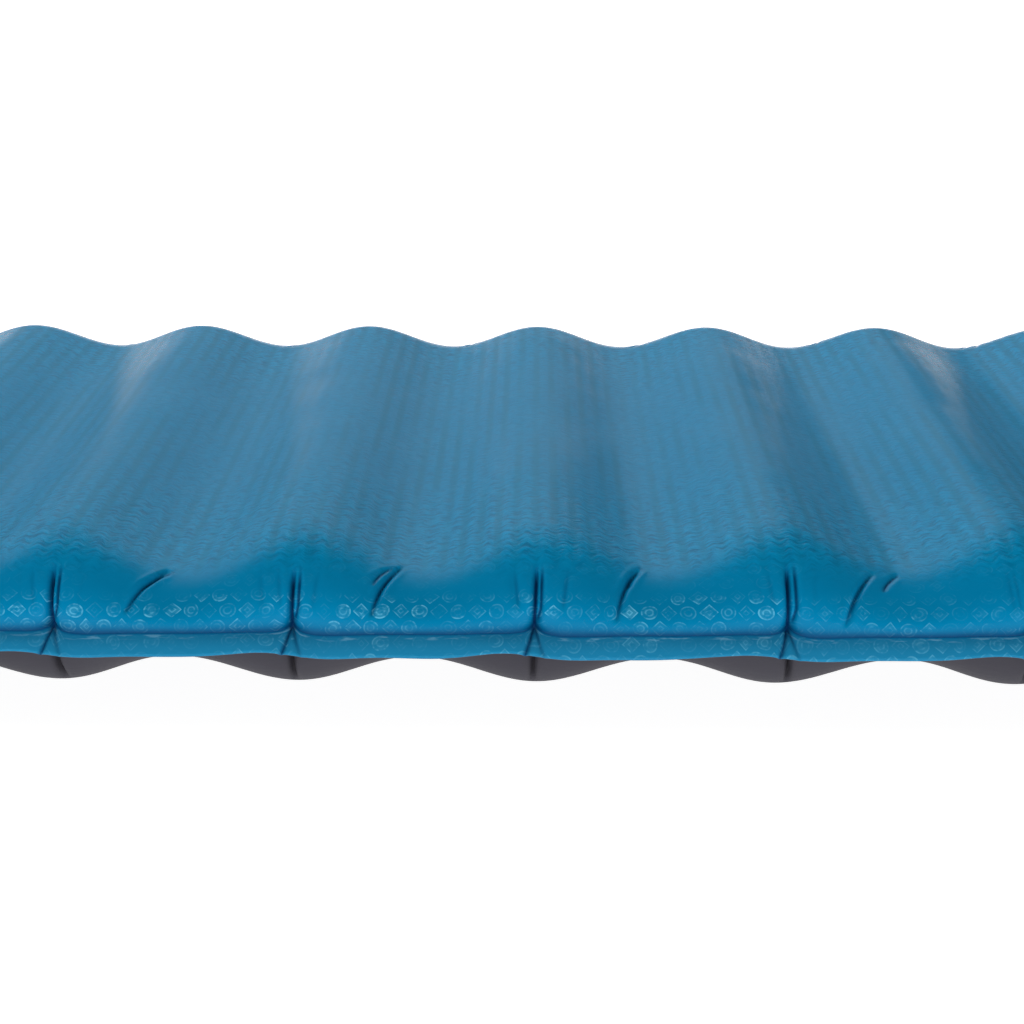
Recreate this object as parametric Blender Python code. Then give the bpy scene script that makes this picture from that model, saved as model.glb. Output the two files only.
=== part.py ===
"""Inflatable camping mattress: two welded sheets, cross tubes held by inner webs, and a flush two-stage valve.

Metres, +Z up. X runs along the bed, Y across it, and the origin lies on the ground under its middle.
"""

import math

import bmesh
import bpy
from mathutils import Matrix, Vector

# Overall sizes of the inflated bed
LENGTH = 1.830
WIDTH = 0.510
TOP_RISE = 0.038  # crest of a tube above the edge seam
BOTTOM_DROP = 0.038  # edge seam above the ground that the tubes lie on
TUBES = 15
CORNER_RADIUS = 0.055

# Sheets and their welded rim
SHEET = 0.0004
GAP = 0.0003  # between pieces that touch
RIM_OUT = 0.007
RIM_DROP = 0.008

# Relief of the tubes
TROUGH_SHARE = 0.58  # height over a web, as a share of the crest's
CREST_BAND = 0.022  # flat strip along each crest
WELD_BAND = 0.024  # flat strip along each web
CREST_ROLL = 0.038  # how far in from the seam a crest starts to fall
TROUGH_ROLL = 0.075
SIDE_STEPS = (0.05, 0.22, 0.5)  # shares of CREST_ROLL where the side is faceted

# Inner webs
WEB = 0.0004
TAB_WIDTH = 0.018
WEB_END = 0.044  # from the seam to the end of a web, where air passes

# Valve, about its own axis; heights are above the sheet around it
VALVE_INSET = 0.078  # axis to the side seam
VALVE_SINK = 0.003  # sheet around the valve below the crest
PATCH_RADIUS = 0.035
PATCH_BLEND = 0.024
PATCH_CUTS = 4  # extra facet lines through each face round the valve
ROUND = 32  # sides of a round piece

THROAT_RADIUS = 0.0116  # bore that takes the pump or the mouth
PLUG_WALL = 0.0037
PLUG_TAPER = 0.0010
PLUG_DEPTH = 0.0050
BODY_WALL = 0.0031
BODY_DEPTH = 0.0100
SOCKET_WALL = 0.0029
SOCKET_LIP = 0.0010
WELD_DISC = 0.0075  # width of the disc that is welded under the sheet
WELD_DISC_THICK = 0.0012
RIM_THICK = 0.0016
RIM_WIDTH = 0.0079  # body rim beyond its bore
LEDGE = 0.0021
CAP_THICK = 0.0016
CAP_WIDTH = 0.0054  # cap beyond the throat
CAP_DOME = 0.0007
SKIRT_WALL = 0.0015
SKIRT_DEPTH = 0.0039
SKIRT_TAPER = 0.0006
RING_THICK = 0.0009  # radial depth of a seal ring
RING_HEIGHT = 0.0013
TAB_REACH = 0.0042
TAB_HALF = 0.0050

SPOKES = 3
SPOKE_WIDTH = 0.0020
SPOKE_THICK = 0.0012
HUB_RADIUS = 0.0034
STEM_RADIUS = 0.0011
BULB_RADIUS = 0.0022
BULB_HEIGHT = 0.0018
FLAP_LAP = 0.0014  # flap beyond the throat
FLAP_THICK = 0.0010
FLAP_TRAVEL = 0.0022

PIN_RADIUS = 0.0009
PIN_FIT = 0.0001  # running clearance round a hinge pin
PIN_HEAD = 0.0005
KNUCKLE_RADIUS = 0.0021
KNUCKLE_HALF = 0.0030
EAR_THICK = 0.0024
BITE = 0.0002  # by which joined shapes miss sharing a face

# What follows from the sizes above
CHAMBER_LENGTH = LENGTH - 2 * RIM_OUT
CHAMBER_WIDTH = WIDTH - 2 * RIM_OUT
PITCH = CHAMBER_LENGTH / TUBES
SEAM_Z = BOTTOM_DROP
RIM_SLOPE = math.atan2(RIM_DROP, RIM_OUT)
HALF_SEAM = (SHEET + GAP) / math.cos(RIM_SLOPE)  # outer face of a sheet from the seam's middle

VALVE_X = CHAMBER_LENGTH / 2 - PITCH / 2
VALVE_Y = -(CHAMBER_WIDTH / 2 - VALVE_INSET)
VALVE_Z = SEAM_Z + TOP_RISE - VALVE_SINK

PLUG_RADIUS = THROAT_RADIUS + PLUG_WALL
BORE_RADIUS = PLUG_RADIUS + GAP
BODY_RADIUS = BORE_RADIUS + BODY_WALL
SOCKET_BORE = BODY_RADIUS + GAP
SOCKET_RADIUS = SOCKET_BORE + SOCKET_WALL
HOLE_RADIUS = SOCKET_RADIUS + GAP

BODY_RIM_LOW = SOCKET_LIP + GAP
BODY_RIM_TOP = BODY_RIM_LOW + RIM_THICK
BODY_RIM_RADIUS = BORE_RADIUS + RIM_WIDTH
PLUG_RIM_LOW = BODY_RIM_TOP + GAP
PLUG_RIM_TOP = PLUG_RIM_LOW + RIM_THICK
PLUG_RIM_RADIUS = BODY_RIM_RADIUS - LEDGE + 0.0006
CAP_LOW = PLUG_RIM_TOP + GAP
CAP_TOP = CAP_LOW + CAP_THICK
CAP_RADIUS = THROAT_RADIUS + CAP_WIDTH

PLUG_PIN_Y = BODY_RIM_RADIUS + KNUCKLE_RADIUS + 2 * GAP
PLUG_PIN_Z = PLUG_RIM_LOW + RIM_THICK / 2
CAP_PIN_Y = -(BODY_RIM_RADIUS + GAP)
CAP_PIN_Z = BODY_RIM_TOP + GAP + KNUCKLE_RADIUS
EAR_HALF = KNUCKLE_HALF + GAP + EAR_THICK

BLUE_FABRIC = ("blue_fabric", (0.02, 0.19, 0.36, 1), 0.5, 0)
GREY_FABRIC = ("grey_fabric", (0.09, 0.085, 0.105, 1), 0.6, 0)
WEB_FILM = ("web_film", (0.55, 0.57, 0.60, 1), 0.45, 0)
VALVE_SOFT = ("valve_soft", (0.035, 0.037, 0.042, 1), 0.6, 0)
VALVE_HARD = ("valve_hard", (0.02, 0.021, 0.024, 1), 0.4, 0)
CAP_PLASTIC = ("cap_plastic", (0.03, 0.2, 0.37, 1), 0.4, 0)
SEAL_RUBBER = ("seal_rubber", (0.62, 0.64, 0.66, 1), 0.55, 0)
PIN_STEEL = ("pin_steel", (0.6, 0.6, 0.62, 1), 0.3, 1)


def material(finish):
    name, colour, roughness, metallic = finish
    made = bpy.data.materials.get(name) or bpy.data.materials.new(name)
    made.use_nodes = True
    shader = made.node_tree.nodes["Principled BSDF"]
    shader.inputs["Base Color"].default_value = colour
    shader.inputs["Roughness"].default_value = roughness
    shader.inputs["Metallic"].default_value = metallic
    return made


def object_from(bm, name, finish=None, parent=None, at=(0, 0, 0), smooth=True):
    """An object whose mesh is bm, with its faces turned out; at is its place in its parent's frame."""
    bmesh.ops.recalc_face_normals(bm, faces=bm.faces)
    mesh = bpy.data.meshes.new(name)
    bm.to_mesh(mesh)
    bm.free()
    made = bpy.data.objects.new(name, mesh)
    bpy.context.collection.objects.link(made)
    made.parent = parent
    made.location = at
    if finish:
        mesh.materials.append(material(finish))
    if smooth:
        mesh.shade_smooth()
        mesh.set_sharp_from_angle(angle=math.radians(35))
    return made


def empty(name, parent, at):
    made = bpy.data.objects.new(name, None)
    bpy.context.collection.objects.link(made)
    made.parent = parent
    made.location = at
    return made


def boolean(target, tool, operation):
    tool.hide_render = True
    tool.display_type = "WIRE"
    modifier = target.modifiers.new(tool.name, "BOOLEAN")
    modifier.operation = operation
    modifier.object = tool


# The relief of the sheets


def inside(x, y):
    """How far a point in plan lies inside the seam, which has round corners."""
    over_x = abs(x) - (CHAMBER_LENGTH / 2 - CORNER_RADIUS)
    over_y = abs(y) - (CHAMBER_WIDTH / 2 - CORNER_RADIUS)
    beyond = math.hypot(max(over_x, 0), max(over_y, 0))
    return CORNER_RADIUS - beyond - min(max(over_x, over_y), 0)


def outward(x, y):
    """The direction in plan that leaves the seam at a point on it."""
    over = Vector((abs(x) - (CHAMBER_LENGTH / 2 - CORNER_RADIUS), abs(y) - (CHAMBER_WIDTH / 2 - CORNER_RADIUS)))
    if over.x > 0 and over.y > 0:
        way = over.normalized()
    else:
        way = Vector((1, 0)) if over.x > over.y else Vector((0, 1))
    return Vector((math.copysign(way.x, x), math.copysign(way.y, y)))


def crest_at(tube):
    return -CHAMBER_LENGTH / 2 + (tube + 0.5) * PITCH


def fullness(x):
    """1 along a tube's crest and 0 over a web. The outer halves of the end tubes stay full."""
    if abs(x) > CHAMBER_LENGTH / 2 - PITCH / 2:
        return 1.0
    tube = min(TUBES - 1, int((x + CHAMBER_LENGTH / 2) / PITCH))
    flat = CREST_BAND / 2
    slope = PITCH / 2 - WELD_BAND / 2 - flat
    turn = min(max((abs(x - crest_at(tube)) - flat) / slope, 0), 1)
    return (1 + math.cos(math.pi * turn)) / 2


def height_share(x, y):
    """A sheet's height off the seam, as a share of its rise or drop."""
    full = fullness(x)
    roll = TROUGH_ROLL + (CREST_ROLL - TROUGH_ROLL) * full
    left = 1 - min(max(inside(x, y) - 1e-6, 0) / roll, 1)
    return (TROUGH_SHARE + (1 - TROUGH_SHARE) * full) * math.sqrt(1 - left * left)


def top_height(x, y):
    free = SEAM_Z + HALF_SEAM + (TOP_RISE - HALF_SEAM) * height_share(x, y)
    away = (math.hypot(x - VALVE_X, y - VALVE_Y) - PATCH_RADIUS) / PATCH_BLEND
    away = min(max(away, 0), 1)
    held = 1 - away * away * (3 - 2 * away)
    return free + (VALVE_Z - free) * held


def bottom_height(x, y):
    return SEAM_Z - HALF_SEAM - (BOTTOM_DROP - HALF_SEAM) * height_share(x, y)


def stations_along():
    """Where the sheets are faceted along the bed: the edges of each flat strip and one place between."""
    end_steps = [0] + [share * CREST_ROLL for share in SIDE_STEPS] + [0.64 * CORNER_RADIUS]
    found = [CHAMBER_LENGTH / 2 - step for step in end_steps]
    half = PITCH / 2 - WELD_BAND / 2
    middle = (CREST_BAND / 2 + half) / 2
    for tube in range(TUBES):
        for offset in (CREST_BAND / 2, middle, half):
            if tube < TUBES - 1:
                found.append(crest_at(tube) + offset)
    found += [-x for x in found]
    found.append(crest_at(TUBES - 1))
    found.append(crest_at(0))
    return sorted(set(round(x, 9) for x in found))


def stations_across(round_valve):
    """Where they are faceted across it, as shares of the half width, with more beside the valve."""
    insets = [0] + [share * CREST_ROLL for share in SIDE_STEPS] + [WEB_END, TROUGH_ROLL]
    half = [1 - inset / (CHAMBER_WIDTH / 2) for inset in insets]
    found = [-share for share in half] + half[::-1]
    if round_valve:
        reach = PATCH_RADIUS + PATCH_BLEND
        found += [(VALVE_Y + past) / (CHAMBER_WIDTH / 2) for past in (PATCH_RADIUS, reach)]
    return sorted(found)


def half_width(x):
    """The seam's half width, which the corners narrow."""
    into = max(0, CORNER_RADIUS - (CHAMBER_LENGTH / 2 - abs(x)))
    return CHAMBER_WIDTH / 2 - CORNER_RADIUS + math.sqrt(max(0, CORNER_RADIUS**2 - into**2))


def sheet(name, finish, height, refine):
    """One sheet with its rim. The faces are its outer side, and Solidify thickens them inwards."""
    bm = bmesh.new()
    across = stations_across(refine)
    rows = [[bm.verts.new((x, share * half_width(x), 0)) for share in across] for x in stations_along()]
    for near, far in zip(rows, rows[1:]):
        for i in range(len(across) - 1):
            bm.faces.new((near[i], far[i], far[i + 1], near[i + 1]))
    if refine:
        reach = PATCH_RADIUS + PATCH_BLEND
        close = [face for face in bm.faces if (face.calc_center_median().xy - Vector((VALVE_X, VALVE_Y))).length < reach]
        edges = list({edge for face in close for edge in face.edges})
        bmesh.ops.subdivide_edges(bm, edges=edges, cuts=PATCH_CUTS, use_grid_fill=True)
    for vert in bm.verts:
        vert.co.z = height(vert.co.x, vert.co.y)
    bmesh.ops.triangulate(bm, faces=bm.faces)
    border = [edge for edge in bm.edges if edge.is_boundary]
    rim = bmesh.ops.extrude_edge_only(bm, edges=border)["geom"]
    for vert in [item for item in rim if isinstance(item, bmesh.types.BMVert)]:
        way = outward(vert.co.x, vert.co.y)
        vert.co += Vector((way.x * RIM_OUT, way.y * RIM_OUT, -RIM_DROP))
    made = object_from(bm, name, finish)
    middle = min(made.data.polygons, key=lambda face: face.center.xy.length)
    if (middle.normal.z > 0) != (height is top_height):
        made.data.flip_normals()
    thick = made.modifiers.new("thickness", "SOLIDIFY")
    thick.thickness = SHEET
    thick.offset = -1
    thick.use_even_offset = True
    return made


def web(number):
    """An I-shaped strip that ties the two sheets together along one trough."""
    x = -CHAMBER_LENGTH / 2 + number * PITCH
    ends = [CHAMBER_WIDTH / 2 - WEB_END, CHAMBER_WIDTH / 2 - TROUGH_ROLL]
    bm = bmesh.new()
    rings = []
    for y in [-ends[0], -ends[1], ends[1], ends[0]]:
        high = top_height(x, y) - SHEET - GAP
        low = bottom_height(x, y) + SHEET + GAP
        tab, core = TAB_WIDTH / 2, WEB / 2
        outline = [(tab, high), (tab, high - WEB), (core, high - WEB), (core, low + WEB), (tab, low + WEB), (tab, low)]
        outline += [(-across, z) for across, z in reversed(outline)]
        rings.append([bm.verts.new((x + across, y, z)) for across, z in outline])
    sides = len(rings[0])
    for near, far in zip(rings, rings[1:]):
        for i in range(sides):
            bm.faces.new((near[i], near[(i + 1) % sides], far[(i + 1) % sides], far[i]))
    bm.faces.new(rings[0])
    bm.faces.new(rings[-1])
    return object_from(bm, f"baffle_web_{number:02d}", WEB_FILM, smooth=False)


# Valve pieces, each built about the valve's axis and moved onto its own origin


def turned(profile, origin=(0, 0, 0)):
    """A closed outline of (radius, height) points, spun about the valve's axis."""
    bm = bmesh.new()
    verts = [bm.verts.new((radius, 0, z)) for radius, z in profile]
    edges = [bm.edges.new((a, b)) for a, b in zip(verts, verts[1:] + verts[:1])]
    bmesh.ops.spin(bm, geom=verts + edges, axis=(0, 0, 1), cent=(0, 0, 0), angle=math.tau, steps=ROUND, use_merge=True)
    bmesh.ops.remove_doubles(bm, verts=bm.verts, dist=1e-6)
    bmesh.ops.dissolve_degenerate(bm, edges=bm.edges, dist=1e-7)
    bmesh.ops.translate(bm, verts=bm.verts, vec=-Vector(origin))
    return bm


def block(low, high, origin):
    bm = bmesh.new()
    size = Vector(high) - Vector(low)
    bmesh.ops.create_cube(bm, size=1, matrix=Matrix.Diagonal((*size, 1)))
    bmesh.ops.translate(bm, verts=bm.verts, vec=(Vector(low) + Vector(high)) / 2 - Vector(origin))
    return bm


def rod(radius, half_length, middle, origin, sides=16):
    """A cylinder along X."""
    bm = bmesh.new()
    turn = Matrix.Rotation(math.pi / 2, 4, "Y")
    bmesh.ops.create_cone(
        bm, cap_ends=True, segments=sides, radius1=radius, radius2=radius, depth=2 * half_length, matrix=turn
    )
    bmesh.ops.translate(bm, verts=bm.verts, vec=Vector(middle) - Vector(origin))
    return bm


class Valve:
    """The valve's fixed empties: its axis in the sheet, and the two hinge axes."""

    def __init__(self):
        self.axis = empty("valve_axis", None, (VALVE_X, VALVE_Y, VALVE_Z))
        self.plug_pin = (0, PLUG_PIN_Y, PLUG_PIN_Z)
        self.cap_pin = (0, CAP_PIN_Y, CAP_PIN_Z)
        self.plug_hinge = empty("plug_hinge", self.axis, self.plug_pin)
        from_plug = Vector(self.cap_pin) - Vector(self.plug_pin)
        self.cap_hinge = empty("cap_hinge", self.plug_hinge, from_plug)


def add(target, bm, name, parent, operation="UNION"):
    boolean(target, object_from(bm, name, parent=parent, smooth=False), operation)


def ear_pair(target, parent, origin, pin, root_y, low, root_top):
    """Two ears that stand beside a knuckle, on feet that reach in to root_y."""
    away = math.copysign(1, pin[1])
    tip = pin[1] + away * KNUCKLE_RADIUS
    inner = pin[1] - away * KNUCKLE_RADIUS
    for side in (-1, 1):
        near, far = sorted((side * (KNUCKLE_HALF + GAP), side * EAR_HALF))
        label = f"{target.name}_ear_{'left' if side < 0 else 'right'}"
        foot = sorted((root_y, tip - away * BITE))
        foot_low, foot_high = (near + BITE, foot[0], low + BITE), (far - BITE, foot[1], root_top - BITE)
        add(target, block(foot_low, foot_high, origin), label + "_foot", parent)
        post = sorted((inner, tip))
        top = pin[2] + KNUCKLE_RADIUS
        add(target, block((near, post[0], low + 2 * BITE), (far, post[1], top), origin), label + "_post", parent)
    bore = rod(PIN_RADIUS + PIN_FIT, EAR_HALF * 2, pin, origin)
    add(target, bore, f"{target.name}_ear_bore", parent, "DIFFERENCE")


def knuckle(target, parent, origin, pin, root_y, low, high):
    """An arm from root_y to a barrel round the pin."""
    arm = sorted((root_y, pin[1]))
    half = KNUCKLE_HALF - BITE
    box = block((-half, arm[0], low + BITE), (half, arm[1], high - BITE), origin)
    add(target, box, f"{target.name}_arm", parent)
    add(target, rod(KNUCKLE_RADIUS, KNUCKLE_HALF, pin, origin), f"{target.name}_barrel", parent)
    bore = rod(PIN_RADIUS + PIN_FIT, KNUCKLE_HALF * 2, pin, origin)
    add(target, bore, f"{target.name}_barrel_bore", parent, "DIFFERENCE")


def hinge_pin(name, parent):
    """A pin along X with a flat head at each end, outside the ears."""
    bm = bmesh.new()
    inner = EAR_HALF + GAP
    outer = inner + PIN_HEAD
    wide = PIN_RADIUS + 2 * GAP + PIN_HEAD / 2
    steps = [(-outer, wide), (-inner, wide), (-inner, PIN_RADIUS), (inner, PIN_RADIUS), (inner, wide), (outer, wide)]
    verts = [bm.verts.new((x, radius, 0)) for x, radius in [(-outer, 0), *steps, (outer, 0)]]
    edges = [bm.edges.new(pair) for pair in zip(verts, verts[1:])]
    bmesh.ops.spin(bm, geom=verts + edges, axis=(1, 0, 0), cent=(0, 0, 0), angle=math.tau, steps=14, use_merge=True)
    bmesh.ops.remove_doubles(bm, verts=bm.verts, dist=1e-6)
    bmesh.ops.dissolve_degenerate(bm, edges=bm.edges, dist=1e-7)
    return object_from(bm, name, PIN_STEEL, parent)


def valve_socket(valve):
    """Soft weld disc and socket: the disc lies under the sheet and the socket comes up through its hole."""
    disc_top = -SHEET - GAP
    disc_low = disc_top - WELD_DISC_THICK
    outline = [
        (SOCKET_BORE, -BODY_DEPTH),
        (SOCKET_RADIUS, -BODY_DEPTH),
        (SOCKET_RADIUS, disc_low),
        (SOCKET_RADIUS + WELD_DISC, disc_low),
        (SOCKET_RADIUS + WELD_DISC, disc_top),
        (SOCKET_RADIUS, disc_top),
        (SOCKET_RADIUS, SOCKET_LIP),
        (SOCKET_BORE, SOCKET_LIP),
    ]
    return object_from(turned(outline), "valve_socket", VALVE_SOFT, valve.axis)


def valve_body(valve):
    """Hard ring in the socket, with the plug's hinge ears on its rim."""
    outline = [
        (BORE_RADIUS - LEDGE, -BODY_DEPTH),
        (BODY_RADIUS, -BODY_DEPTH),
        (BODY_RADIUS, BODY_RIM_LOW),
        (BODY_RIM_RADIUS, BODY_RIM_LOW),
        (BODY_RIM_RADIUS, BODY_RIM_TOP - RIM_THICK / 3),
        (BODY_RIM_RADIUS - RIM_THICK / 3, BODY_RIM_TOP),
        (BORE_RADIUS, BODY_RIM_TOP),
        (BORE_RADIUS, -BODY_DEPTH + RIM_THICK),
        (BORE_RADIUS - LEDGE, -BODY_DEPTH + RIM_THICK),
    ]
    made = object_from(turned(outline), "valve_body", VALVE_HARD, valve.axis)
    ear_pair(made, valve.axis, (0, 0, 0), valve.plug_pin, BODY_RADIUS, BODY_RIM_LOW, BODY_RIM_TOP)
    return made


def dump_plug(valve):
    """Plug that closes the bore and holds the one-way flap. It hinges up on the body to let the air out."""
    groove = PLUG_RADIUS - RING_THICK
    groove_half = RING_HEIGHT / 2 + GAP / 2
    outline = [
        (THROAT_RADIUS, -PLUG_DEPTH),
        (PLUG_RADIUS - PLUG_TAPER, -PLUG_DEPTH),
        (PLUG_RADIUS - PLUG_TAPER / 2, -groove_half),
        (groove, -groove_half),
        (groove, groove_half),
        (PLUG_RADIUS - PLUG_TAPER / 2, groove_half),
        (PLUG_RADIUS, PLUG_RIM_LOW),
        (PLUG_RIM_RADIUS, PLUG_RIM_LOW),
        (PLUG_RIM_RADIUS, PLUG_RIM_TOP - RIM_THICK / 3),
        (PLUG_RIM_RADIUS - RIM_THICK / 3, PLUG_RIM_TOP),
        (THROAT_RADIUS, PLUG_RIM_TOP),
    ]
    origin = valve.plug_pin
    made = object_from(turned(outline, origin), "dump_plug", VALVE_HARD, valve.plug_hinge)
    hub_top = -PLUG_DEPTH + SPOKE_THICK
    bore = STEM_RADIUS + GAP
    root, reach = (bore + HUB_RADIUS) / 2, THROAT_RADIUS + PLUG_WALL / 2
    for turn in range(SPOKES):
        spoke = block((root, -SPOKE_WIDTH / 2, BITE - PLUG_DEPTH), (reach, SPOKE_WIDTH / 2, hub_top - BITE), (0, 0, 0))
        spin = Matrix.Rotation(math.tau * (turn + 0.25) / SPOKES, 4, "Z")
        bmesh.ops.transform(spoke, matrix=Matrix.Translation(-Vector(origin)) @ spin, verts=spoke.verts)
        add(made, spoke, f"dump_plug_spoke_{turn + 1}", valve.plug_hinge)
    hub_outline = [(bore, -PLUG_DEPTH), (HUB_RADIUS, -PLUG_DEPTH), (HUB_RADIUS, hub_top), (bore, hub_top)]
    add(made, turned(hub_outline, origin), "dump_plug_hub", valve.plug_hinge)
    knuckle(made, valve.plug_hinge, origin, valve.plug_pin, PLUG_RADIUS, PLUG_RIM_LOW, PLUG_RIM_TOP)
    ear_pair(made, valve.plug_hinge, origin, valve.cap_pin, -PLUG_RADIUS, PLUG_RIM_LOW, PLUG_RIM_TOP)
    return made


def check_flap(valve):
    """Soft one-way flap under the throat. Its stem hangs in the hub and its bulb is pressed to bleed air."""
    top = -PLUG_DEPTH - GAP
    low = top - FLAP_THICK
    bulb_low = -PLUG_DEPTH + SPOKE_THICK + FLAP_TRAVEL + GAP
    edge = THROAT_RADIUS + FLAP_LAP
    outline = [
        (0, low),
        (edge * 0.9, low + FLAP_THICK / 3),
        (edge, top - FLAP_THICK / 3),
        (edge, top),
        (STEM_RADIUS, top),
        (STEM_RADIUS, bulb_low),
        (BULB_RADIUS, bulb_low + BULB_HEIGHT / 4),
        (BULB_RADIUS * 0.8, bulb_low + BULB_HEIGHT * 0.8),
        (0, bulb_low + BULB_HEIGHT),
    ]
    at = Vector((0, 0, top)) - Vector(valve.plug_pin)
    return object_from(turned(outline, (0, 0, top)), "check_flap", SEAL_RUBBER, valve.plug_hinge, at)


def seal_ring(name, outer, middle_z, origin, parent):
    """A ring of five-sided section, flat at its back, that sits in a groove."""
    inner = outer - RING_THICK + GAP
    half = RING_HEIGHT / 2 - GAP / 2
    waist = (inner + outer) / 2
    section = [(inner, -half), (waist, -half), (outer, 0), (waist, half), (inner, half)]
    outline = [(radius, z + middle_z) for radius, z in section]
    return object_from(turned(outline, origin), name, SEAL_RUBBER, parent)


def valve_cap(valve):
    """Cap over the throat, hinged on the plug opposite the plug's own hinge, with a finger tab."""
    skirt = THROAT_RADIUS - GAP
    skirt_low = CAP_LOW - SKIRT_DEPTH
    groove_half = RING_HEIGHT / 2 + GAP / 2
    groove_z = (skirt_low + CAP_LOW) / 2
    outline = [
        (0, CAP_LOW),
        (skirt - SKIRT_WALL - RING_THICK / 2, CAP_LOW),
        (skirt - SKIRT_WALL - RING_THICK / 2, skirt_low),
        (skirt - SKIRT_TAPER, skirt_low),
        (skirt - SKIRT_TAPER / 2, groove_z - groove_half),
        (skirt - RING_THICK, groove_z - groove_half),
        (skirt - RING_THICK, groove_z + groove_half),
        (skirt - SKIRT_TAPER / 4, groove_z + groove_half),
        (skirt, CAP_LOW),
        (CAP_RADIUS, CAP_LOW),
        (CAP_RADIUS, CAP_TOP - CAP_THICK / 3),
        (CAP_RADIUS - CAP_THICK / 3, CAP_TOP),
        (THROAT_RADIUS, CAP_TOP + CAP_DOME / 2),
        (0, CAP_TOP + CAP_DOME),
    ]
    origin = valve.cap_pin
    made = object_from(turned(outline, origin), "valve_cap", CAP_PLASTIC, valve.cap_hinge)
    tab_low, tab_high = (-TAB_HALF, CAP_RADIUS / 2, CAP_LOW + BITE), (TAB_HALF, CAP_RADIUS + TAB_REACH, CAP_TOP - BITE)
    tab = block(tab_low, tab_high, origin)
    add(made, tab, "valve_cap_tab", valve.cap_hinge)
    knuckle(made, valve.cap_hinge, origin, valve.cap_pin, -CAP_RADIUS * 0.8, CAP_LOW, CAP_TOP)
    return made


def main():
    for thing in list(bpy.data.objects):
        bpy.data.objects.remove(thing)
    top = sheet("top_sheet", BLUE_FABRIC, top_height, refine=True)
    sheet("bottom_sheet", GREY_FABRIC, bottom_height, refine=False)
    for number in range(1, TUBES):
        web(number)
    valve = Valve()
    hole = turned([(0, -TOP_RISE / 2), (HOLE_RADIUS, -TOP_RISE / 2), (HOLE_RADIUS, TOP_RISE / 2), (0, TOP_RISE / 2)])
    cutter = object_from(hole, "valve_hole", parent=valve.axis, smooth=False)
    cutter.rotation_euler.z = math.radians(3)  # off the sheet's own facet lines
    boolean(top, cutter, "DIFFERENCE")
    valve_socket(valve)
    valve_body(valve)
    dump_plug(valve)
    check_flap(valve)
    valve_cap(valve)
    hinge_pin("plug_hinge_pin", valve.plug_hinge)
    hinge_pin("cap_hinge_pin", valve.cap_hinge)
    seal_ring("plug_seal", PLUG_RADIUS - PLUG_TAPER / 4, 0, valve.plug_pin, valve.plug_hinge)
    cap_groove = CAP_LOW - SKIRT_DEPTH / 2
    seal_ring("cap_seal", THROAT_RADIUS - GAP, cap_groove, valve.cap_pin, valve.cap_hinge)


main()
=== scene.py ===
"""Looks of the inflatable mattress: puckered fabric skins, and finishes for the valve's pieces."""

import math

import bpy
import numpy as np
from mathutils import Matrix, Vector


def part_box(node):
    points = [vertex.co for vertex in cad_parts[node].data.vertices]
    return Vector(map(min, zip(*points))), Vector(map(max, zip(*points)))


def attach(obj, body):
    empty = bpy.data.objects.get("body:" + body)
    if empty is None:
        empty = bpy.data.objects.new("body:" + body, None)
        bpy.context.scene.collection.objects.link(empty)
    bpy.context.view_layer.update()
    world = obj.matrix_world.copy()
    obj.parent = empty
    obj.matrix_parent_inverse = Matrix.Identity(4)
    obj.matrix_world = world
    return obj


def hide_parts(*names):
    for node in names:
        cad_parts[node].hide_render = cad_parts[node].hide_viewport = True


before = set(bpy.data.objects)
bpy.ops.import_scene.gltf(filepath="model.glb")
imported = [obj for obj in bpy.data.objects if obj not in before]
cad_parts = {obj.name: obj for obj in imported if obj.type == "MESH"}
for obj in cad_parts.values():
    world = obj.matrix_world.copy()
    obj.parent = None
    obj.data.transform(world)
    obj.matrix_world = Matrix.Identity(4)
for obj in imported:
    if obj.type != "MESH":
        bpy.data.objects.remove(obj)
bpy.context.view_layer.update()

MM = 0.001

# The bed's measures, read from the frame
CREST_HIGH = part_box("top_sheet")[1]
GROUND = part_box("bottom_sheet")[0].z
WEBS = [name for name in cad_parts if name.startswith("baffle_web")]
WEB_PLACES = sorted((low + high).x / 2 for low, high in map(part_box, WEBS))
TUBES = len(WEB_PLACES) + 1
PITCH = (WEB_PLACES[-1] - WEB_PLACES[0]) / (TUBES - 2)
RIM_OUT = 7 * MM
RIM_DROP = 8 * MM
HALF_LENGTH = CREST_HIGH.x - RIM_OUT
HALF_WIDTH = CREST_HIGH.y - RIM_OUT
SEAM_Z = (GROUND + CREST_HIGH.z) / 2
RISE = CREST_HIGH.z - SEAM_Z
CORNER = 55 * MM

# Relief of the tubes
TROUGH_SHARE = 0.585
ROLL = 38 * MM
FRONT_CREST_ROLL = 58 * MM
FRONT_TROUGH_ROLL = 39 * MM
FRONT_CREST_LIFT = 2.2 * MM
WELD = 0.4 * MM  # from the middle of the seam to a skin's face
END_BULGE = 2.3 * MM  # by which a tube's end swells out over the rim
END_CLEAR = 12 * MM  # free of pinches at the bed's two ends

# Print on the cloth
PRINT_STEP = 9.8 * MM
PRINT_ROW = 8.2 * MM

# Valve, in the sheet
VALVE_LOW, VALVE_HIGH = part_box("valve_socket")
VALVE_X = (VALVE_LOW.x + VALVE_HIGH.x) / 2
VALVE_Y = (VALVE_LOW.y + VALVE_HIGH.y) / 2
VALVE_SHEET_Z = VALVE_HIGH.z - 1 * MM
VALVE_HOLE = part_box("valve_body")[1].x - VALVE_X - 1.3 * MM
WELD_DISC = VALVE_HIGH.x - VALVE_X
PATCH = 35 * MM
PATCH_BLEND = 24 * MM

# Camera
LENS = 65.6
CAMERA_PLACE = (0, -1.089, 0.409)
CAMERA_TILT = 20.0
CAMERA_TURN = 0.81


# Arithmetic on the sockets of a material


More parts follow.
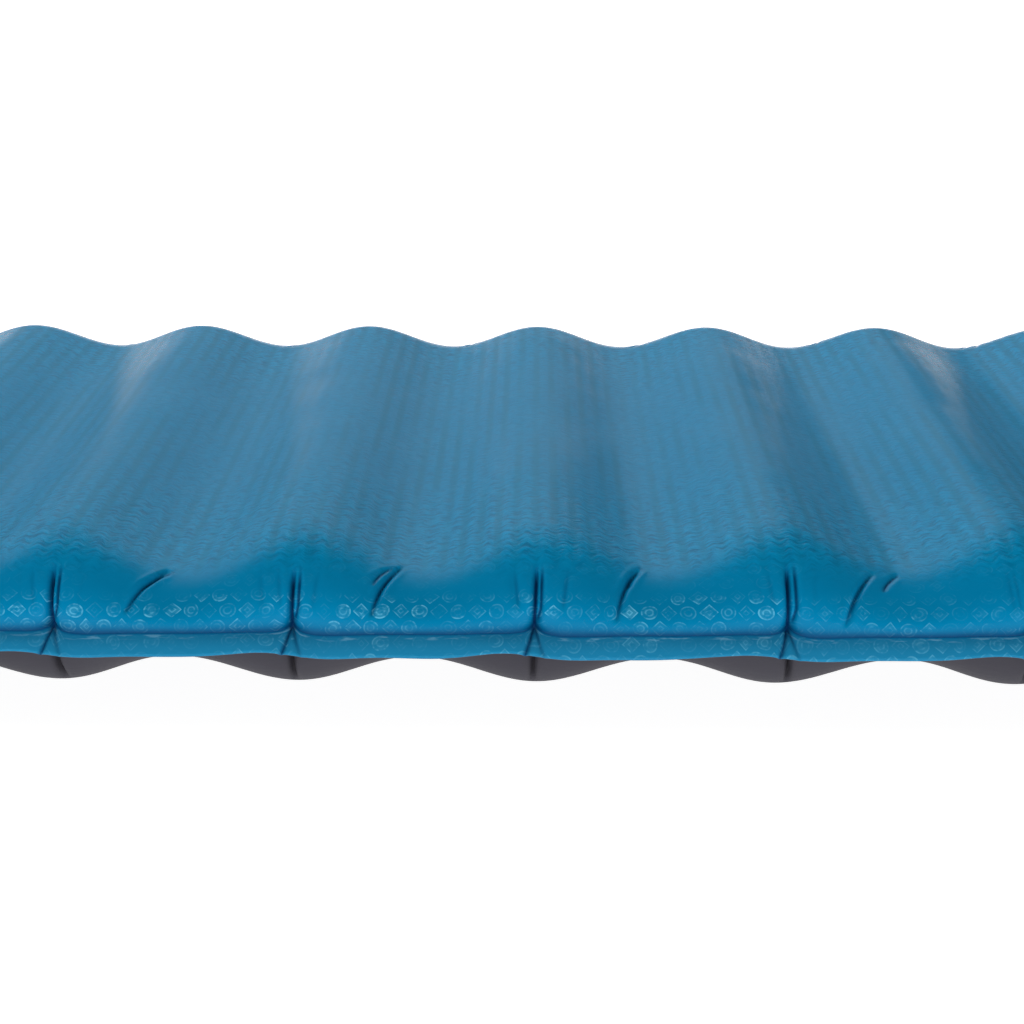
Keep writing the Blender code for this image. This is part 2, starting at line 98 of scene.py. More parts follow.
def connect(tree, value, place):
    if isinstance(value, Wire):
        tree.links.new(value.output, place)
    else:
        place.default_value = value


class Wire:
    """A number that varies over a surface. Arithmetic on it adds Math nodes."""

    def __init__(self, tree, output):
        self.tree = tree
        self.output = output

    def math(self, operation, *values):
        made = self.tree.nodes.new("ShaderNodeMath")
        made.operation = operation
        for place, value in zip(made.inputs, values):
            connect(self.tree, value, place)
        return Wire(self.tree, made.outputs[0])

    def __add__(self, other):
        return self.math("ADD", self, other)

    def __radd__(self, other):
        return self.math("ADD", other, self)

    def __sub__(self, other):
        return self.math("SUBTRACT", self, other)

    def __rsub__(self, other):
        return self.math("SUBTRACT", other, self)

    def __mul__(self, other):
        return self.math("MULTIPLY", self, other)

    def __rmul__(self, other):
        return self.math("MULTIPLY", other, self)

    def __truediv__(self, other):
        return self.math("DIVIDE", self, other)

    def __mod__(self, other):
        return self.math("FLOORED_MODULO", self, other)

    def __abs__(self):
        return self.math("ABSOLUTE", self)

    def floor(self):
        return self.math("FLOOR", self)

    def above(self, other):
        return self.math("GREATER_THAN", self, other)

    def larger(self, other):
        return self.math("MAXIMUM", self, other)


class Finish:
    """A material with one Principled shader. Constants go straight on its sockets."""

    def __init__(self, name, colour, **constants):
        self.material = bpy.data.materials.new(name)
        self.material.use_nodes = True
        self.tree = self.material.node_tree
        self.shader = self.tree.nodes["Principled BSDF"]
        self.shader.inputs["Base Color"].default_value = (*colour, 1)
        for socket, value in constants.items():
            name = "IOR" if socket == "ior" else socket.replace("_", " ").title()
            self.shader.inputs[name].default_value = value

    def node(self, kind, settings=None, values=None, output=0):
        made = self.tree.nodes.new("ShaderNode" + kind)
        for name, value in (settings or {}).items():
            setattr(made, name, value)
        for name, value in (values or {}).items():
            connect(self.tree, value, made.inputs[name])
        return Wire(self.tree, made.outputs[output])

    def feed(self, socket, value):
        connect(self.tree, value, self.shader.inputs[socket])

    def ease(self, value, start, end, low=0.0, high=1.0):
        """low below start, high above end, and a smooth change between."""
        span = {"Value": value, "From Min": start, "From Max": end, "To Min": low, "To Max": high}
        return self.node("MapRange", {"interpolation_type": "SMOOTHSTEP"}, span)

    def noise(self, place, scale, detail=2.0, rough=0.5):
        sizes = {"Scale": scale, "Detail": detail, "Roughness": rough}
        return self.node("TexNoise", {}, {"Vector": place, **sizes})

    def stretched(self, place, by):
        return self.node("VectorMath", {"operation": "MULTIPLY"}, {0: place, 1: by})

    def tint(self, factor, first, second):
        return self.node("Mix", {"data_type": "RGBA"}, {0: factor, 6: first, 7: second}, output=2)

    def bump(self, height, distance, strength=1.0, under=None):
        values = {"Height": height, "Distance": distance, "Strength": strength}
        if under:
            values["Normal"] = under
        return self.node("Bump", {}, values)


# Finishes


def cloth_place(finish):
    """Where a point lies on the flat cloth, in metres: along, across, and its distance from the rim."""
    place = finish.node("Attribute", {"attribute_name": "cloth"}, output=1)
    parts = [finish.node("SeparateXYZ", {}, {"Vector": place}, output=i) for i in range(3)]
    return place, *parts


def weave(finish, along, across, thread):
    """Height of a plain weave with that thread spacing."""
    warp = finish.node("Math", {"operation": "SINE"}, {0: along * (math.tau / thread)})
    weft = finish.node("Math", {"operation": "SINE"}, {0: across * (math.tau / thread)})
    return warp * weft


def printed_marks(finish, place, along, across):
    """Rows of small marks, rings and diamonds by turns, each row half a step along from the next."""
    sway = (finish.noise(place, 45, 1) - 0.5) * (5 * MM)
    row = ((across + sway * 0.4) / PRINT_ROW).floor()
    shifted = (along + sway) / PRINT_STEP + (row % 2) * 0.5
    x = (shifted % 1 - 0.5) * PRINT_STEP
    y = (((across + sway * 0.4) / PRINT_ROW) % 1 - 0.5) * PRINT_ROW
    square = abs(x) + abs(y) * 1.1
    round_off = finish.node("Math", {"operation": "SQRT"}, {0: x * x + y * y * 1.25}) * 1.12
    is_ring = ((shifted.floor() + row) % 2).above(0.5)
    reach = square * (1 - is_ring) + round_off * is_ring
    outline = finish.ease(abs(reach - 4.15 * MM), 0.26 * MM, 0.6 * MM, 1, 0)
    inner = finish.ease(abs(reach - (1.5 * MM + is_ring * (0.5 * MM))), 0.3 * MM, 0.62 * MM, 0.85, 0)
    worn = finish.ease(finish.noise(place, 210, 2, 0.6), 0.4, 0.6, 0.1, 1)
    number = finish.node("CombineXYZ", {}, {"X": shifted.floor(), "Y": row})
    strength = finish.ease(finish.node("TexWhiteNoise", {}, {"Vector": number}), 0.0, 0.8, 0.3, 1)
    glow = finish.ease(reach, 3.2 * MM, 4.1 * MM, 0.3, 0) * strength
    return outline.larger(inner).larger(glow) * worn * strength


def blue_fabric():
    """Satin coated fabric with fine cross wrinkles and glossy tone-on-tone marks, with painted light
    and shade in its colour: a painted glint on the marks along the side, painted light and shade on the
    wrinkles, and painted shade in the folds and along the weld.
    """
    finish = Finish("blue_skin_fabric", (0.0, 0.22, 0.44), ior=1.185)
    place, along, across, from_rim = cloth_place(finish)
    on_top = finish.ease(from_rim, 24 * MM, 60 * MM)
    low_side = finish.ease(from_rim, 15 * MM, 23 * MM, 1, 0)
    low_side = low_side * finish.ease(from_rim, 5 * MM, 9 * MM, 0.5, 1)
    patches = finish.ease(finish.noise(place, 30, 2), 0.42, 0.58)
    marks = printed_marks(finish, place, along, across)
    # The print's own tone plus a painted glint: strongest along the low side and in patches, where the
    # side catches the light, and faint on the top
    print_and_painted_glint = marks * (patches * 0.78 + 0.22) * (low_side * 0.9 + 0.08)
    lines = finish.node("Math", {"operation": "COSINE"}, {0: along * (math.tau / PRINT_STEP)})
    streaks = finish.noise(finish.stretched(place, (45, 8, 1)), 1, 2)
    columns_shown = finish.ease(lines, -0.6, 1.0) * finish.ease(streaks, 0.35, 0.6, 0.2, 1) * on_top
    dashes = finish.node("CombineXYZ", {}, {"X": along * 150, "Y": across * 380 + lines * 0.5})
    ribs = finish.noise(dashes, 1, 3, 0.68)
    near_end = on_top * finish.ease(from_rim, 50 * MM, 200 * MM, 1, 0.4)
    cloudy = finish.noise(place, 9, 3)
    base = finish.tint(cloudy, (0.0, 0.226, 0.45, 1), (0.0, 0.252, 0.5, 1))
    # Painted light and shade of the fine wrinkles on the top near the rim: lighter on their crests,
    # darker in their hollows
    base = finish.tint(finish.ease(ribs, 0.36, 0.68) * near_end, base, (0.0, 0.33, 0.62, 1))
    base = finish.tint(finish.ease(ribs, 0.3, 0.52, 1, 0) * near_end, base, (0.0, 0.165, 0.335, 1))
    base = finish.tint(columns_shown * 0.55, base, (0.0, 0.2, 0.36, 1))
    # Print marks drawn lighter, on the side and on the rim: partly the print's tone, partly a painted
    # glint
    base = finish.tint(print_and_painted_glint, base, (0.13, 0.56, 0.8, 1))
    on_rim = finish.ease(from_rim, -1.5 * MM, 0.0, 1, 0)
    base = finish.tint(on_rim * 0.8, base, (0.016, 0.225, 0.42, 1))
    base = finish.tint(print_and_painted_glint * on_rim * 0.7, base, (0.13, 0.5, 0.72, 1))
    below_weld = finish.ease(from_rim, -3.4 * MM, -1.6 * MM)
    below_weld = below_weld * finish.ease(from_rim, -1.2 * MM, -0.3 * MM, 1, 0)
    flecks = finish.noise(finish.stretched(place, (90, 600, 1)), 1, 3)
    flecks = finish.ease(flecks, 0.52, 0.66) * below_weld
    base = finish.tint(flecks * 0.55, base, (0.2, 0.5, 0.72, 1))
    # Painted shade: the colour darkens towards deep navy in the folds, the pinches and along the weld
    fold_and_painted_shade = finish.node("Attribute", {"attribute_name": "fold_and_painted_shade"}, output=2)
    finish.feed("Base Color", finish.tint(fold_and_painted_shade, base, (0.002, 0.02, 0.1, 1)))
    finish.feed("Roughness", 0.14 + ribs * 0.08 + columns_shown * 0.03 - print_and_painted_glint * 0.06)
    pressed = finish.bump(ribs * (near_end + 0.06), 0.5 * MM, 0.95)
    threads = weave(finish, along, across, 0.7 * MM) + marks * (low_side * 1.5 + 0.04)
    finish.feed("Normal", finish.bump(threads, 0.02 * MM, 0.35, pressed))
    return finish.material


def grey_fabric():
    """Matt coated fabric of the underside."""
    finish = Finish("grey_skin_fabric", (0.09, 0.085, 0.105), ior=1.2)
    place, along, across, from_rim = cloth_place(finish)
    cloudy = finish.noise(place, 12, 3)
    base = finish.tint(cloudy, (0.043, 0.041, 0.052, 1), (0.058, 0.056, 0.069, 1))
    # Painted shade: the colour darkens towards near black in the folds and pinches
    fold_and_painted_shade = finish.node("Attribute", {"attribute_name": "fold_and_painted_shade"}, output=2)
    finish.feed("Base Color", finish.tint(fold_and_painted_shade, base, (0.006, 0.005, 0.008, 1)))
    finish.feed("Roughness", 0.56 + cloudy * 0.12)
    ribs = finish.noise(finish.stretched(place, (90, 380, 1)), 1, 3, 0.6)
    pressed = finish.bump(ribs, 0.25 * MM, 0.6)
    threads = weave(finish, along, across, 0.8 * MM)
    finish.feed("Normal", finish.bump(threads, 0.03 * MM, 0.4, pressed))
    return finish.material


def moulded(name, colour, roughness, grain, depth, spread=0.25):
    """Moulded plastic or rubber with a fine grain and slightly uneven gloss."""
    finish = Finish(name, colour)
    place = finish.node("TexCoord", output=3)
    light = tuple(min(1, part * (1 + spread)) for part in colour)
    dark = tuple(part * (1 - spread) for part in colour)
    cloudy = finish.noise(place, 60, 3)
    fine = finish.noise(place, grain, 2)
    finish.feed("Base Color", finish.tint(cloudy, (*dark, 1), (*light, 1)))
    finish.feed("Roughness", roughness - 0.06 + cloudy * 0.12)
    finish.feed("Normal", finish.bump(fine, depth, 0.6))
    return finish.material


def brushed_pin():
    finish = Finish("pin_steel_brushed", (0.62, 0.62, 0.64), metallic=1.0)
    place = finish.node("TexCoord", output=3)
    scratches = finish.noise(finish.stretched(place, (200, 3000, 3000)), 1, 2)
    finish.feed("Roughness", 0.22 + scratches * 0.2)
    finish.feed("Normal", finish.bump(scratches, 0.01 * MM, 0.4))
    return finish.material


# The shape of the skins, as arrays over their grid


def smooth(value, start, end):
    turn = np.clip((value - start) / (end - start), 0, 1)
    return turn * turn * (3 - 2 * turn)


def inside(x, y):
    """How far a point in plan lies inside the seam."""
    over_x = np.abs(x) - (HALF_LENGTH - CORNER)
    over_y = np.abs(y) - (HALF_WIDTH - CORNER)
    beyond = np.hypot(np.maximum(over_x, 0), np.maximum(over_y, 0))
    return CORNER - beyond - np.minimum(np.maximum(over_x, over_y), 0)


def outward(x, y):
    """The direction in plan that leaves the seam nearest to a point."""
    over_x = np.abs(x) - (HALF_LENGTH - CORNER)
    over_y = np.abs(y) - (HALF_WIDTH - CORNER)
    both = (over_x > 0) & (over_y > 0)
    reach = np.hypot(over_x, over_y) + 1e-12
    way_x = np.where(both, over_x / reach, over_x > over_y)
    way_y = np.where(both, over_y / reach, over_x <= over_y)
    return way_x * np.sign(x), way_y * np.sign(y)


def half_width(x):
    into = np.maximum(0, CORNER - (HALF_LENGTH - np.abs(x)))
    return HALF_WIDTH - CORNER + np.sqrt(np.maximum(0, CORNER**2 - into**2))


def tube_of(x):
    """The number of the tube over a place, and how far the place lies from its middle in pitches."""
    number = np.clip(np.floor((x + HALF_LENGTH) / PITCH), 0, TUBES - 1).astype(int)
    return number, (x + HALF_LENGTH) / PITCH - number - 0.5


def columns(per_tube):
    """Places along the bed, close together where the tubes' ends pucker and at the bed's ends."""
    turn = np.arange(per_tube) / per_tube - 0.5
    offsets = PITCH * (turn - 0.3 * np.sin(math.tau * turn) / math.tau)
    crests = [number * PITCH for number in range(1, TUBES // 2)]
    found = [offsets[offsets >= 0]] + [crest + offsets for crest in crests]
    last = TUBES // 2 * PITCH
    found.append(last + offsets[offsets < 0])
    found.append(np.linspace(last, HALF_LENGTH - ROLL, per_tube // 8, endpoint=False))
    found.append(HALF_LENGTH - ROLL * (1 - np.cos(np.linspace(math.pi / 2, 0, per_tube // 3))))
    half = np.concatenate(found)
    return np.concatenate([-half[:0:-1], half])


def rows(fine):
    """Places across it, as shares of the half width."""
    side = FRONT_CREST_ROLL * (1 - np.cos(np.linspace(0, math.pi / 2, fine)))
    shoulder = np.arange(FRONT_CREST_ROLL + 2.4 * MM, 75 * MM, 3 * MM)
    middle = np.linspace(75 * MM, HALF_WIDTH, fine // 2)
    half = 1 - np.concatenate([side, shoulder, middle]) / HALF_WIDTH
    return np.concatenate([-half, half[-2::-1]])


def fullness(x):
    number, turn = tube_of(x)
    full = 0.5 + 0.5 * np.cos(math.tau * turn)
    return np.where(np.abs(x) > HALF_LENGTH - PITCH / 2, 1.0, full)


def lumps(seed, x, y, size, count=10):
    """Gentle random unevenness from -1 to 1."""
    chance = np.random.default_rng(seed)
    ways = chance.uniform(0, math.pi, count)
    shifts = chance.uniform(0, 9, count)
    stretches = chance.uniform(0.7, 1.5, count)
    total = 0
    for way, shift, stretch in zip(ways, shifts, stretches):
        forward = x * math.cos(way) + y * math.sin(way)
        total = total + np.sin(forward * math.tau / (size * stretch) + shift)
    return total / count * 1.6


class Skin:
    """One sheet's outer face: a grid of points with normals, their places on the flat cloth, and
    painted shade for its folds and weld.
    """

    def __init__(self, up, per_tube, fine):
        self.up = up
        x, share = np.meshgrid(columns(per_tube), rows(fine), indexing="ij")
        y = share * half_width(x)
        self.x, self.y = x, y
        self.tube, self.turn = tube_of(x)
        depth = np.maximum(inside(x, y), 0)
        full = fullness(x)
        slack = smooth(-y, 0, HALF_WIDTH / 2) * (up > 0)
        slack = slack * (1 - smooth(np.abs(x), HALF_LENGTH - PITCH, HALF_LENGTH - PITCH / 2))
        roll = FRONT_TROUGH_ROLL + (FRONT_CREST_ROLL - FRONT_TROUGH_ROLL) * full
        roll = ROLL + (roll - ROLL) * slack
        left = 1 - np.minimum(depth / roll, 1)
        risen = np.sqrt(np.maximum(0, 1 - left * left))
        height = (TROUGH_SHARE + (1 - TROUGH_SHARE) * full) * risen * (RISE - WELD) + WELD
        height = height + FRONT_CREST_LIFT * slack * full * risen
        uneven = lumps(3, x, y, 0.16) * 0.7 * MM * full + lumps(5, x, y, 0.055) * 0.22 * MM
        height = height + uneven * smooth(depth, 20 * MM, 70 * MM)
        if up > 0:
            away = np.hypot(x - VALVE_X, y - VALVE_Y)
            held = 1 - smooth(away, PATCH, PATCH + PATCH_BLEND)
            height += (VALVE_SHEET_Z - SEAM_Z - height) * held
            height -= 0.35 * MM * np.exp(-(((away - WELD_DISC) / (0.8 * MM)) ** 2))
        swell = END_BULGE * np.sin(math.pi * risen**0.8) * (0.6 + 0.4 * full) * (depth < roll)
        way_x, way_y = outward(x, y)
        self.points = np.stack([x + way_x * swell, y + way_y * swell, SEAM_Z + up * height], axis=-1)
        # Painted shade along the weld on the top skin: a dark line at the seam, and a gentle darkening
        # a few millimetres up the side where the rim shades the cloth
        self.fold_and_painted_shade = (0.6 * np.exp(-depth / (0.35 * MM)) + 0.2 * np.exp(-depth / (2.2 * MM))) * (up > 0)
        self.measure()

    def measure(self):
        """Normals, and the distances along the cloth."""
        along, across = np.gradient(self.points, axis=0), np.gradient(self.points, axis=1)
        normal = np.cross(along, across)
        normal *= np.sign(self.up)
        self.normal = normal / (np.linalg.norm(normal, axis=-1, keepdims=True) + 1e-12)
        step = np.linalg.norm(np.diff(self.points, axis=1), axis=-1)
        self.across = np.pad(np.cumsum(step, axis=1), ((0, 0), (1, 0)))
        self.from_side = np.minimum(self.across, self.across[:, -1:] - self.across)
        step = np.linalg.norm(np.diff(self.points, axis=0), axis=-1)
        gone = np.pad(np.cumsum(step, axis=0), ((1, 0), (0, 0)))
        self.from_end = np.minimum(gone, gone[-1:] - gone)
        centre = self.across[:, gone.shape[1] // 2]
        corner = np.abs(self.x[:, 0]) > HALF_LENGTH - CORNER
        self.printed = self.across + np.where(corner, centre[~corner][0] - centre, 0)[:, None]
        middle = gone[:, gone.shape[1] // 2]
        self.along = np.broadcast_to((middle - middle[-1] / 2)[:, None], gone.shape)

    def press(self, depth, fold_and_painted_shade=0):
        """Push the fabric in along its normal, and record the painted shade where a tight fold shuts
        out the light.
        """
        self.points = self.points - self.normal * depth[..., None]
        self.fold_and_painted_shade = np.maximum(self.fold_and_painted_shade, np.clip(fold_and_painted_shade, 0, 1))


def groove(offset, width, depth):
    """Depth across a tight fold with round lips."""
    return depth * np.exp(-((np.abs(offset) / width) ** 1.25))


def shade(offset, width):
    return np.exp(-((offset / width) ** 2))


class Puckers:
    """The chance differences between the tubes' ends, one value for each tube and side."""

    def __init__(self, seed):
        self.chance = np.random.default_rng(seed)

    def pick(self, skin, low, high):
        values = self.chance.uniform(low, high, (2, TUBES))
        return values[(skin.y > 0).astype(int), skin.tube]


PINCH_PLACE = np.random.default_rng(21).uniform(-1.5, 3.0, (2, TUBES)) * MM


def pinch_offset(x, y):
    """Distance along the rim from the middle of the nearest tube's pinch."""
    number, turn = tube_of(x)
    return turn * PITCH - PINCH_PLACE[(y > 0).astype(int), number]


def rim_sway(x, y):
    """The rim rides up before each pinch and hangs low after it."""
    number, turn = tube_of(x)
    way = np.where(y > 0, -1, 1)
    return -2.9 * MM * np.sin(math.tau * turn * way) * np.exp(-((turn / 0.24) ** 2))


def pinch_ends(skin):
    """Gather each tube's end into one deep fold with lesser folds beside it."""
    puckers = Puckers(40 + skin.up)
    up_side = skin.from_side
    on_side = np.abs(skin.x) < HALF_LENGTH - END_CLEAR
    offset = pinch_offset(skin.x, skin.y) - up_side * puckers.pick(skin, -0.05, 0.08)
    length = puckers.pick(skin, 36 * MM, 43 * MM)
    fade = (1 - smooth(up_side, length - 12 * MM, length)) * on_side
    width = (1.15 + 0.8 * np.exp(-((up_side / (8 * MM)) ** 2))) * MM
    # Each press here also paints shade: the deep pinch, the fold beside it and the lesser folds are
    # darkened in colour along their middles
    skin.press(groove(offset, width * 1.15, 6.2 * MM) * fade, 0.95 * shade(offset, width * 0.8) * fade)
    if skin.up > 0:
        aside = offset - puckers.pick(skin, 2.8 * MM, 3.9 * MM) * np.minimum(1, up_side / (16 * MM))
        seen = smooth(up_side, 4 * MM, 10 * MM) * fade
        skin.press(groove(aside, 1.0 * MM, 2.8 * MM) * seen, 0.8 * shade(aside, 0.75 * MM) * seen)
        for low, high in ((-16, -10), (-9, -5), (9, 16)):
            lean = (up_side - 20 * MM) * 0.12 * np.sign(high)
            aside = offset - puckers.pick(skin, low * MM, high * MM) - lean
            seen = smooth(up_side, 12 * MM, 20 * MM) * (1 - smooth(up_side, 26 * MM, 40 * MM)) * on_side
            seen = seen * puckers.pick(skin, 0.0, 1.0)
            skin.press(groove(aside, 1.5 * MM, 1.3 * MM) * seen, 0.25 * shade(aside, 1.1 * MM) * seen)
    dip = np.exp(-((offset / (8 * MM)) ** 2)) * np.exp(-((up_side / (15 * MM)) ** 2))
    skin.press(2.6 * MM * dip * on_side)
    skin.points[..., 2] += 0.5 * rim_sway(skin.x, skin.y) * np.exp(-up_side / (7 * MM))


def slanting_folds(skin):
    """One or two slanting folds where the cloth dives into each trough."""
    puckers = Puckers(61)
    forward = np.where(skin.y > 0, -1, 1) * skin.turn * PITCH
    inner = np.abs(skin.x) < HALF_LENGTH - PITCH / 2
    front = np.where(skin.y > 0, 0.4, 1.0)
    for start, end, low, high, deepest in ((34, 49, 8, 43, 4.8), (46, 53, 25, 43, 2.4)):
        start_at = puckers.pick(skin, (start - 6) * MM, (start + 6) * MM)
        end_at = start_at + puckers.pick(skin, (end - start - 3) * MM, (end - start + 6) * MM)
        low_at = puckers.pick(skin, (low - 2) * MM, (low + 3) * MM)
        high_at = puckers.pick(skin, (high - 4) * MM, (high + 3) * MM)
        turn = np.clip((skin.from_side - low_at) / (high_at - low_at), -0.2, 1.2)
        line = start_at + (end_at - start_at) * turn - 1.8 * MM * np.sin(math.pi * np.clip(turn, 0, 1))
        lean = np.cos(np.arctan2(end_at - start_at, high_at - low_at))
        aside = (forward - line) * lean
        along = np.sqrt(np.maximum(0, np.sin(math.pi * np.clip(turn, 0, 1)))) * inner
        share = puckers.pick(skin, 0.55, 1.0)
        lips = 0.12 * np.exp(-(((np.abs(aside) - 3.4 * MM) / (1.6 * MM)) ** 2))
        fold_and_painted_shade = groove(aside, 1.15 * MM, 1.0) - lips
        along = along * share * front
        # Painted shade along the middle of each slanting fold
        skin.press(fold_and_painted_shade * deepest * MM * along, 1.15 * shade(aside, 0.72 * MM) * along)


def end_puckers(skin):
    """Short folds along the bed's two ends."""
    chance = np.random.default_rng(77)
    for place in np.arange(-HALF_WIDTH + CORNER, HALF_WIDTH - CORNER, 33 * MM):
        at = place + chance.uniform(-9, 9) * MM
        lean = chance.uniform(-0.3, 0.3)
        length = chance.uniform(9, 24) * MM
        depth = chance.uniform(0.6, 2.2) * MM
        aside = skin.y - at - skin.from_end * lean
        fade = 1 - smooth(skin.from_end, length * 0.4, length)
        # Painted shade along the middle of each short fold at the ends
        skin.press(groove(aside, 1.8 * MM, depth) * fade, 0.5 * shade(aside, 0.9 * MM) * fade)


def rim_of(skin, steps=9):
    """The welded rim: rows of points out from the skin's border, the painted shade of their folds, and
    the border itself.
    """
    columns_count, rows_count = skin.x.shape
    front_side = [(i, 0) for i in range(columns_count)]
    right_end = [(columns_count - 1, j) for j in range(1, rows_count - 1)]
    back_side = [(i, rows_count - 1) for i in reversed(range(columns_count))]
    left_end = [(0, j) for j in reversed(range(1, rows_count - 1))]
    border = np.array(front_side + right_end + back_side + left_end)
    i, j = border.T
    x, y = skin.x[i, j], skin.y[i, j]
    way_x, way_y = outward(x, y)
    seam = skin.points[i, j]
    sway = rim_sway(x, y) * np.abs(way_y)
    ripple = lumps(12, x, y, 0.05) * 0.5 * MM
    slope = math.atan2(RIM_DROP, RIM_OUT)
    level = np.full(len(x), math.cos(slope))
    face = np.stack([way_x * math.sin(slope), way_y * math.sin(slope), level], axis=-1)
    sag = 1.1 * MM * (1 - fullness(x)) * np.abs(way_y)
    low = SEAM_Z - RIM_DROP + sway + ripple - sag
    edge = np.stack([x + way_x * RIM_OUT, y + way_y * RIM_OUT, low], axis=-1)
    edge += face * WELD * skin.up
    offset = pinch_offset(x, y)
    on_side = (np.abs(way_y) > 0.9) & (np.abs(x) < HALF_LENGTH - END_CLEAR)
    made, painted_fold_shades = [], []
    for share in np.linspace(0, 1, steps)[1:]:
        line = seam + (edge - seam) * share
        line = line + face * (0.9 * MM * math.sin(math.pi * share))
        left, right = offset + 4.6 * MM * share, offset - 5.4 * MM * share
        legs = groove(left, 1.2 * MM, 2.6 * MM) + groove(right, 1.4 * MM, 1.9 * MM) * (1 - 0.6 * share)
        legs = legs - 1.2 * MM * np.exp(-((offset / (2.4 * MM)) ** 2)) * math.sin(math.pi * share)
        made.append(line - face * (legs * on_side)[:, None])
        # Painted shade in the two legs of the fold across the rim
        dark = 0.8 * shade(left, 0.9 * MM) + 0.65 * shade(right, 1.0 * MM) * (1 - 0.8 * share)
        painted_fold_shades.append(np.clip(dark * on_side, 0, 1))
    made.append(made[-1] - face * WELD * skin.up)
    painted_fold_shades.append(painted_fold_shades[-1])
    return made, painted_fold_shades, border


def sheet_object(name, skin, material, hole):
    """The skin with its rim as one mesh, which knows each point's place on the flat cloth."""
    columns_count, rows_count = skin.x.shape
    points = skin.points.reshape(-1, 3)
    number = np.arange(columns_count * rows_count).reshape(columns_count, rows_count)
    corners = [number[:-1, :-1], number[1:, :-1], number[1:, 1:], number[:-1, 1:]]
    faces = np.stack(corners, axis=-1).reshape(-1, 4)
    from_rim = np.minimum(skin.from_side, skin.from_end)
    cloth = np.stack([skin.along, skin.printed, from_rim], axis=-1).reshape(-1, 3)
    if hole:
        away = points[:, :2] - (VALVE_X, VALVE_Y)
        far = np.linalg.norm(away, axis=1)
        kept = far[faces].mean(axis=1) > VALVE_HOLE
        torn = np.zeros(len(points), bool)
        torn[faces[~kept].ravel()] = True
        lip = torn & (far > 1e-6)
        on_lip = np.zeros(len(points), bool)
        on_lip[faces[kept].ravel()] = True
        lip &= on_lip
        points[lip, :2] = (VALVE_X, VALVE_Y) + away[lip] / far[lip, None] * VALVE_HOLE
        faces = faces[kept]
    rim, painted_fold_shades, border = rim_of(skin)
    before = number[border[:, 0], border[:, 1]]
    cloth_here = cloth[before]
    way_x, way_y = outward(skin.x[tuple(border.T)], skin.y[tuple(border.T)])
    all_points, all_faces, all_cloth = [points], [faces], [cloth]
    reach = math.hypot(RIM_OUT, RIM_DROP)
    start = len(points)
    for step, line in enumerate(rim):
        here = start + np.arange(len(line))
        all_faces.append(np.stack([before, here, np.roll(here, -1), np.roll(before, -1)], axis=-1))
        gone = min(step + 1, len(rim) - 1) / (len(rim) - 1) * reach
        shifted = cloth_here.copy()
        shifted[:, 0] += way_x * gone
        shifted[:, 1] += way_y * gone
        shifted[:, 2] = -gone
        all_points.append(line)
        all_cloth.append(shifted)
        before = here
        start += len(line)
    points = np.concatenate(all_points)
    faces = np.concatenate(all_faces)
    cloth = np.concatenate(all_cloth)
    fold_and_painted_shade = np.concatenate([skin.fold_and_painted_shade.ravel(), *painted_fold_shades])
    if skin.up < 0:
        faces = faces[:, ::-1]
    points[:, 2] = np.maximum(points[:, 2], GROUND)
    return mesh_object(name, points, faces, cloth, fold_and_painted_shade, material)


def mesh_object(name, points, faces, cloth, fold_and_painted_shade, material):
    mesh = bpy.data.meshes.new(name)
    mesh.vertices.add(len(points))
    mesh.vertices.foreach_set("co", points.astype(np.float32).ravel())
    mesh.loops.add(faces.size)
    mesh.loops.foreach_set("vertex_index", faces.astype(np.int32).ravel())
    mesh.polygons.add(len(faces))
    mesh.polygons.foreach_set("loop_start", np.arange(0, faces.size, 4, dtype=np.int32))
    mesh.update(calc_edges=True)
    mesh.validate()
    place = mesh.attributes.new("cloth", "FLOAT_VECTOR", "POINT")
    place.data.foreach_set("vector", cloth.astype(np.float32).ravel())
    # The painted fold shade, stored per point for the finishes
    depth = mesh.attributes.new("fold_and_painted_shade", "FLOAT", "POINT")
    depth.data.foreach_set("value", fold_and_painted_shade.astype(np.float32))
    mesh.shade_smooth()
    mesh.materials.append(material)
    made = bpy.data.objects.new(name, mesh)
    bpy.context.collection.objects.link(made)
    return made


def top_skin():
    skin = Skin(up=1, per_tube=190, fine=42)
    pinch_ends(skin)
    slanting_folds(skin)
    end_puckers(skin)
    made = sheet_object("top_skin", skin, blue_fabric(), hole=True)
    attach(made, "bed")
    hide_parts("top_sheet")


def bottom_skin():
    skin = Skin(up=-1, per_tube=80, fine=26)
    pinch_ends(skin)
    end_puckers(skin)
    made = sheet_object("bottom_skin", skin, grey_fabric(), hole=False)
    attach(made, "bed")
    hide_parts("bottom_sheet")


def finish_frame_pieces():
    """Materials for the pieces that keep the frame's own shapes."""
    film = moulded("web_film_milky", (0.55, 0.57, 0.6), 0.45, 300, 0.02 * MM, 0.06)
    soft = moulded("valve_soft_matt", (0.035, 0.037, 0.042), 0.62, 2200, 0.02 * MM)
    hard = moulded("valve_hard_grained", (0.02, 0.021, 0.024), 0.42, 3200, 0.025 * MM)
    cap = moulded("cap_satin", (0.004, 0.15, 0.3), 0.38, 2600, 0.02 * MM, 0.1)
    seal = moulded("seal_silicone", (0.62, 0.64, 0.66), 0.5, 1800, 0.02 * MM, 0.06)
    pin = brushed_pin()
    wearers = {
        "baffle_web": film,
        "valve_socket": soft,
        "valve_body": hard,
        "dump_plug": hard,
        "valve_cap": cap,
        "check_flap": seal,
        "plug_seal": seal,
        "cap_seal": seal,
        "plug_hinge_pin": pin,
        "cap_hinge_pin": pin,
    }
    for name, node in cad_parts.items():
        for start, material in wearers.items():
            if name.startswith(start):
                for place in node.material_slots:
                    place.material = material


# Floor, light and camera


